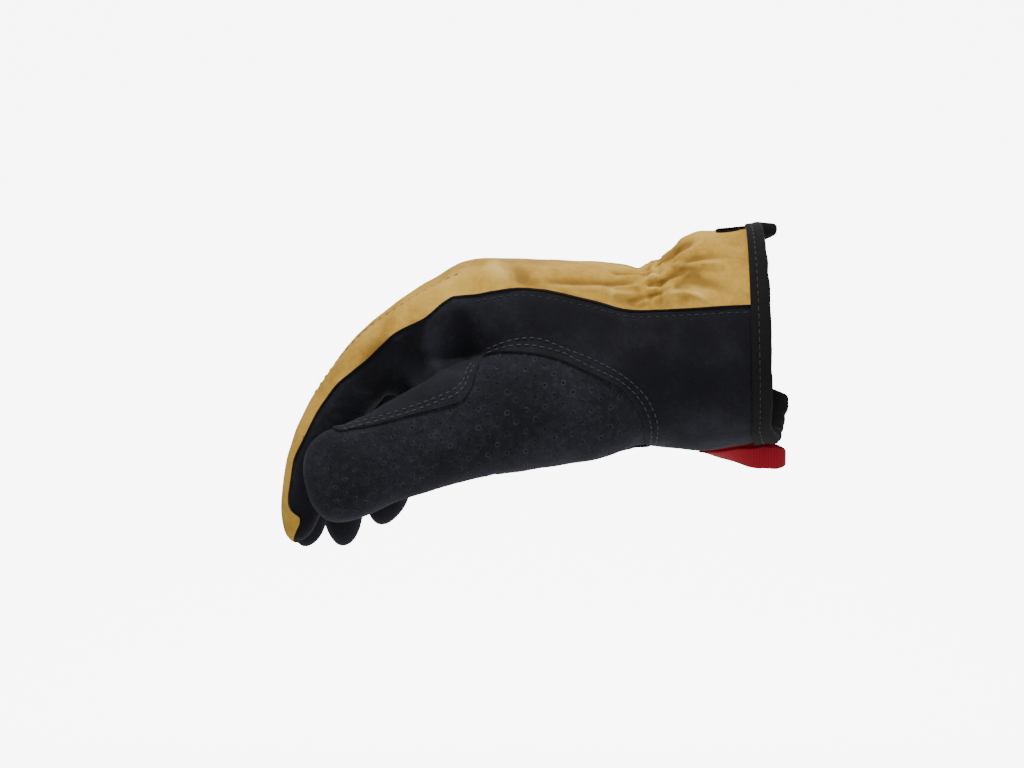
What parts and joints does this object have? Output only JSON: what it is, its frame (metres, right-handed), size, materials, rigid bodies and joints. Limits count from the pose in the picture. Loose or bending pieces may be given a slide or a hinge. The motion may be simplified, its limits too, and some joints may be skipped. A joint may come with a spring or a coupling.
{
  "type": "driver work glove",
  "caption": "Right-hand leather driver work glove with a tan back, black palm, perforated thumb, gathered wrist, bound cuff and a red pull loop.",
  "frame": {"origin": "the middle of the cuff's opening, where the hand goes in", "axes": "+X out of the cuff along the forearm, so the fingers point to -X; -Y is the thumb's side; +Z is the back of the hand"},
  "size_m": [0.1939, 0.1134, 0.1239],
  "materials": {
    "tan_suede": "matt suede nap",
    "black_suede": "matt suede nap",
    "perforated_leather": "matt suede nap with small dimples",
    "black_tape": "woven tape",
    "red_webbing": "woven webbing",
    "grey_thread": "twisted thread"
  },
  "bodies": {
    "root": {"back_panel": "tan_suede", "palm_panel": "black_suede", "thumb_panel": "perforated_leather", "thumb_back": "black_suede", "fourchette_index_middle": "black_suede", "fourchette_middle_ring": "black_suede", "fourchette_ring_little": "black_suede", "cuff_binding": "black_tape", "cuff_tab": "black_tape", "pull_loop": "red_webbing"}
  },
  "joints": []
}
